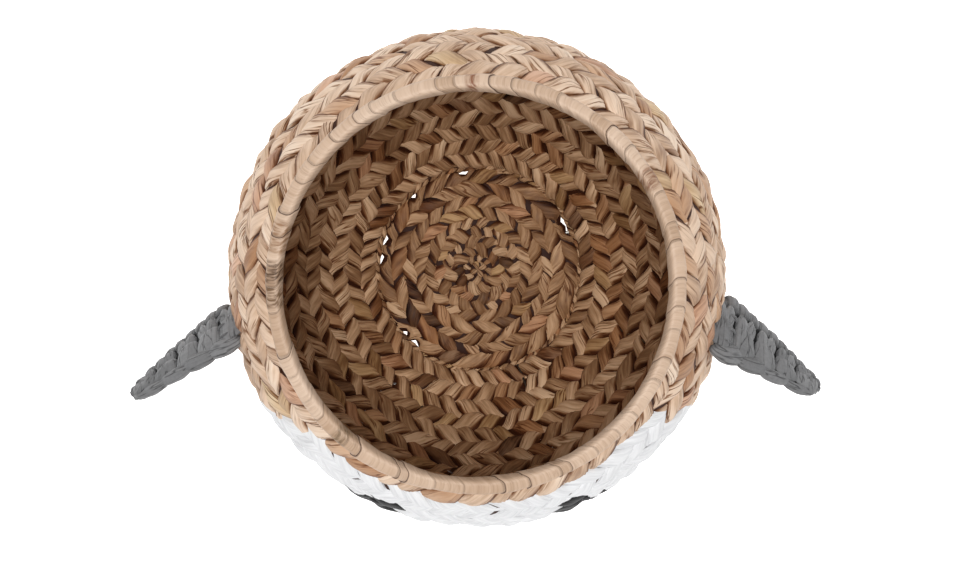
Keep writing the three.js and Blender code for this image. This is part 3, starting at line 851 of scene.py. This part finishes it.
def crochet_recipe():
    """An ear of thick yarn, worked in coordinates of its own: how far along it, which turn round its flat
    outline (0 on the looped edge, half a turn on the plain one) and how far raised from that outline."""
    recipe, size = tree_with("crocheted ear", {
        "Length": "Float", "Root width": "Float", "Tip width": "Float", "Root depth": "Float",
        "Tip depth": "Float", "Sag": "Float", "Stitches": "Int", "Side": "Float", "Seed": "Int",
        "Yarn": "Material"})
    share, around, number = recipe.strip_place()
    yarn_turn = around * math.tau
    pitch = size["Length"] / (size["Stitches"] + EAR_TIP_SHARE)
    straight = size["Length"] - size["Tip width"] * 0.5
    from_middle = share * 2.0 - 1.0
    blunt = (1.0 - from_middle.absolute() ** 4.0).root()
    arch = (share * math.pi).sine()

    def on_ear(along, turn, raised, hold=1.0):
        """The point there. hold draws it in to the ear's middle line."""
        x = along.at_most(size["Length"] - 0.0003)
        way = (x / straight).at_most(1.0).at_least(0.0)
        end = ((x - straight) / (size["Length"] - straight)).at_least(0.0)
        narrowing = (1.0 - end * end).root()
        half_width = (size["Root width"] * (1.0 - way) + size["Tip width"] * way) * 0.5 * narrowing
        half_depth = (size["Root depth"] * (1.0 - way) + size["Tip depth"] * way) * 0.5 * narrowing
        y = turn.cosine() * (half_width - EAR_OUTLINE_INSET[0] + raised) * hold
        z = turn.sine() * (half_depth - EAR_OUTLINE_INSET[1] + raised) * hold - size["Sag"] * way * way
        return recipe.vector(x, size["Side"] * y, z)

    def yarns(count, along, turn, half_along, half_turn, thickness, raised, hand, seed):
        """count pieces of yarn, each a closed flat tube with blunt ends."""
        strips = recipe.strips(count, *YARN_POINTS)
        puff_place = recipe.vector(share * 2.2, number * 3.7, 0.0)
        puff = recipe.noise(puff_place, 1.0, size["Seed"] * 2.7 + seed, 1.0) - 0.5
        side = yarn_turn.cosine() * hand * blunt * (1.0 + puff * 0.5)
        fold_place = recipe.vector(share * 1.2, side * 1.8, number * 3.0)
        fold = recipe.noise(fold_place, 1.0, seed, 2.0) - 0.5
        high = raised + yarn_turn.sine() * thickness * (1.0 + puff * 0.8) * blunt + fold * 0.0022 * blunt
        # painted shade: each piece of yarn darkens towards its ends and its sides
        shaded_side = side.absolute() ** 6.0 * 0.6
        strips = recipe.keep(
            strips, stitch_shade=recipe.chance(number, size["Seed"] + seed),
            hollow=(from_middle.absolute() ** 6.0 * 0.9).at_least(shaded_side),
            grain=recipe.vector(share * 0.02, side * 0.006, number + seed))
        return recipe.moved(strips, on_ear(along + side * half_along, turn + side * half_turn, high))

    # round loops over one edge, two to a stitch
    loops = yarns(
        count=size["Stitches"] * 2 + 2, along=(number - 0.45 + (share - 0.5) * 0.6) * pitch * 0.5,
        turn=(share - 0.5) * 2.1, half_along=pitch * 0.265, half_turn=0.0, thickness=0.0035,
        raised=0.0023, hand=1.0, seed=1.0)

    # two legs to a stitch on either face, apart near the loops, where a small dark hole shows
    face = 1.0 - (number * 0.5).fraction() * 4.0
    leg = (number * 0.5).whole() * 0.5
    second = leg.fraction() * 2.0
    leg_place = leg.whole() - 0.73 + second * 0.50 + share * (0.20 - second * 0.24)
    legs = yarns(
        count=size["Stitches"] * 4 + 4, along=leg_place * pitch, turn=(0.72 + share * 1.0) * face,
        half_along=pitch * (0.10 + recipe.stretch(share, 0.1, 0.55, 0.0, 0.18)), half_turn=0.0,
        thickness=0.0034, raised=arch * 0.0016 - 0.0002, hand=face, seed=2.0)

    # one broad folded fan to a stitch below them
    fan = (number * 0.5).whole()
    fans = yarns(
        count=size["Stitches"] * 2 + 4, along=(fan - 0.52 + share * 0.34) * pitch,
        turn=(1.32 + share * 1.25) * face, half_along=pitch * (0.42 + share * 0.18), half_turn=0.0,
        thickness=0.0036, raised=0.0004 + arch * 0.0008, hand=face, seed=6.0)

    # broad smooth yarn along the other edge, each piece over the next, the first one over the wall
    bands = yarns(
        count=4, along=size["Length"] * (number * 0.245 - 0.13 + share * 0.36),
        turn=math.pi + (share - 0.5) * -0.3, half_along=0.0, half_turn=0.92 - number * 0.05,
        thickness=0.0034, raised=arch * 0.0034 - 0.0004, hand=-1.0, seed=3.0)

    # a turn of yarn round the tip, and short stitches of thin yarn over the root, into the wall
    tip = yarns(
        count=1, along=size["Length"] - 0.0065, turn=(share - 0.5) * math.tau * 1.1, half_along=0.0062,
        half_turn=0.0, thickness=0.0028, raised=0.0008, hand=1.0, seed=5.0)
    sewing = yarns(
        count=5, along=-0.009 + share * 0.012 + number * 0.0006, turn=0.5 + number * 0.42,
        half_along=0.0, half_turn=0.04, thickness=0.0013, raised=0.0012 + arch * 0.0028, hand=-1.0,
        seed=4.0)

    # the shaded inside of the ear
    body = recipe.keep(recipe.grid(33, 25), hollow=1.5)
    body = recipe.moved(body, on_ear(share * (size["Length"] + 0.006) - 0.007, yarn_turn, -0.0016, blunt))
    ear = recipe.joined(loops, legs, fans, bands, tip, sewing, body)
    end_with(recipe, ear, size["Yarn"], size["Side"].above(0.0))
    return recipe


YARN_TONES = [(0.2, linear(94, 94, 95)), (0.75, linear(136, 136, 137))]
YARN_SHADE_TONE = linear(44, 44, 46)
YARN_ROUGHNESS = (0.8, 0.95)
YARN_SHEEN = 0.25
YARN_GLOSS = 0.2

yarn, recipe, shader = finish_for("grey jersey yarn")
grain = recipe.known("grain", "Vector")
folds = recipe.noise(recipe.scaled(grain, (45.0, 330.0, 1.0)), 1.0, 0.0, 2.0)
fold_line = recipe.stretch((folds - 0.5).absolute(), 0.0, 0.03, 1.0, 0.0)
fluff = recipe.noise(recipe.node("ShaderNodeTexCoord", None, None, "Object"), 420.0, 0.0, 3.0)
tone = fluff * 0.4 + folds * 0.35 + recipe.known("stitch_shade") * 0.25
# painted shade: the yarn darkens at the ends and sides of its pieces, along its fold lines, and most on the
# ear's inside
hollow = recipe.stretch(recipe.known("hollow"), 0.2, 1.2).at_least(fold_line * 0.7)
colour = recipe.darkened(hollow, recipe.ramp(tone, YARN_TONES), YARN_SHADE_TONE)
shader.inputs["Sheen Weight"].default_value = YARN_SHEEN
shader.inputs["Specular IOR Level"].default_value = YARN_GLOSS
relief = folds * 0.0022 - fold_line * 0.0005 + fluff * 0.0003
finish_with(recipe, shader, colour, recipe.stretch(fluff, 0.0, 1.0, *YARN_ROUGHNESS), relief)

SEAM_BAND = 7.5                      # bands up from the base hoop, to the middle of the eighth one
SEAM_OUT = 0.0118                    # from the wall's middle to the ear's own middle line
# name, degrees round the basket, turned along the seam, droop, the side of the loops, yarn seed
EARS = [("right_ear", -11, -47, 28.5, 1.0, 9), ("left_ear", 191, 63, 24.5, -1.0, 23)]

seam_radius, seam_height, seam_lean = wall_at(WALL_MARGIN[0] + SEAM_BAND * ROWS_IN_BAND * wall_row_rise)
seam_radius += SEAM_OUT * math.cos(seam_lean)
seam_height += SEAM_OUT * math.sin(seam_lean)
crochet = crochet_recipe()
for name, way, slant, droop, side, seed in EARS:
    ear = grown(name + "_crochet", crochet, {
        "Length": EAR_LENGTH, "Root width": EAR_WIDTHS[0], "Tip width": EAR_WIDTHS[1],
        "Root depth": EAR_DEPTHS[0], "Tip depth": EAR_DEPTHS[1], "Sag": EAR_SAG,
        "Stitches": EAR_STITCHES, "Side": side, "Seed": seed, "Yarn": yarn})
    turned = Matrix.Rotation(math.radians(way), 4, "Z")
    seam = turned @ Matrix.Translation((seam_radius, 0, seam_height)) @ Matrix.Rotation(-seam_lean, 4, "Y")
    slanted = Matrix.Rotation(math.radians(slant), 4, "X")
    hung = seam @ slanted @ Matrix.Rotation(math.radians(droop), 4, "Y")
    ear.data.transform(hung)
    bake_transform(ear)
    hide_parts(name)


# Floor, light, camera
# A pale light table, a broad soft light overhead and the camera nearly straight
# above the mouth, as in the photograph.

FLOOR_REACH = 3
FLOOR_HEIGHT = -0.0005               # just under the base, so that no faces coincide
FLOOR_TONE = linear(245, 245, 245)
FLOOR_GLOW = 0.9
WORLD_LIGHT = 0.45
WHITE = (1.0, 1.0, 1.0, 1.0)

corners = [(-1, -1), (1, -1), (1, 1), (-1, 1)]
floor_mesh = bpy.data.meshes.new("floor")
floor_mesh.from_pydata([(x * FLOOR_REACH, y * FLOOR_REACH, FLOOR_HEIGHT) for x, y in corners],
                       [], [(0, 1, 2, 3)])
floor = bpy.data.objects.new("floor", floor_mesh)
bpy.context.scene.collection.objects.link(floor)
floor_finish, recipe, shader = finish_for("pale floor")
shader.inputs["Base Color"].default_value = FLOOR_TONE
shader.inputs["Roughness"].default_value = 0.8
shader.inputs["Emission Color"].default_value = WHITE
shader.inputs["Emission Strength"].default_value = FLOOR_GLOW
floor_mesh.materials.append(floor_finish)

world = bpy.data.worlds.new("studio")
world.use_nodes = True
world.node_tree.nodes["Background"].inputs["Color"].default_value = WHITE
world.node_tree.nodes["Background"].inputs["Strength"].default_value = WORLD_LIGHT
bpy.context.scene.world = world
bpy.context.scene.view_settings.view_transform = "Standard"

# name, place, width in metres, watts
LAMPS = [("overhead light", (-0.05, 0.03, 2.1), 0.5, 23.5), ("front light", (0.1, -1.3, 1.0), 1.2, 1.5)]
LAMP_AIM = Vector((0, 0, 0.15))
for name, place, width, power in LAMPS:
    lamp = bpy.data.lights.new(name, "AREA")
    lamp.size = width
    lamp.energy = power
    lamp_object = bpy.data.objects.new(name, lamp)
    lamp_object.location = place
    lamp_object.rotation_euler = (LAMP_AIM - Vector(place)).to_track_quat("-Z", "Y").to_euler()
    bpy.context.scene.collection.objects.link(lamp_object)

CAMERA_PLACE = (0.007, 0.049, 1.197)
CAMERA_TILT, CAMERA_ROLL = -3.4377, 0.2578               # degrees from straight down
FOCAL_PIXELS, PHOTO_PIXELS, SENSOR_WIDTH = 1283.0, 960.0, 36.0

camera = bpy.data.cameras.new("camera")
camera.sensor_width = SENSOR_WIDTH
camera.lens = FOCAL_PIXELS * SENSOR_WIDTH / PHOTO_PIXELS
camera_object = bpy.data.objects.new("camera", camera)
tilted = Matrix.Rotation(math.radians(CAMERA_TILT), 4, "X")
rolled = Matrix.Rotation(math.radians(CAMERA_ROLL), 4, "Y")
camera_object.matrix_world = Matrix.Translation(CAMERA_PLACE) @ (tilted @ rolled)
bpy.context.scene.collection.objects.link(camera_object)
bpy.context.scene.camera = camera_object
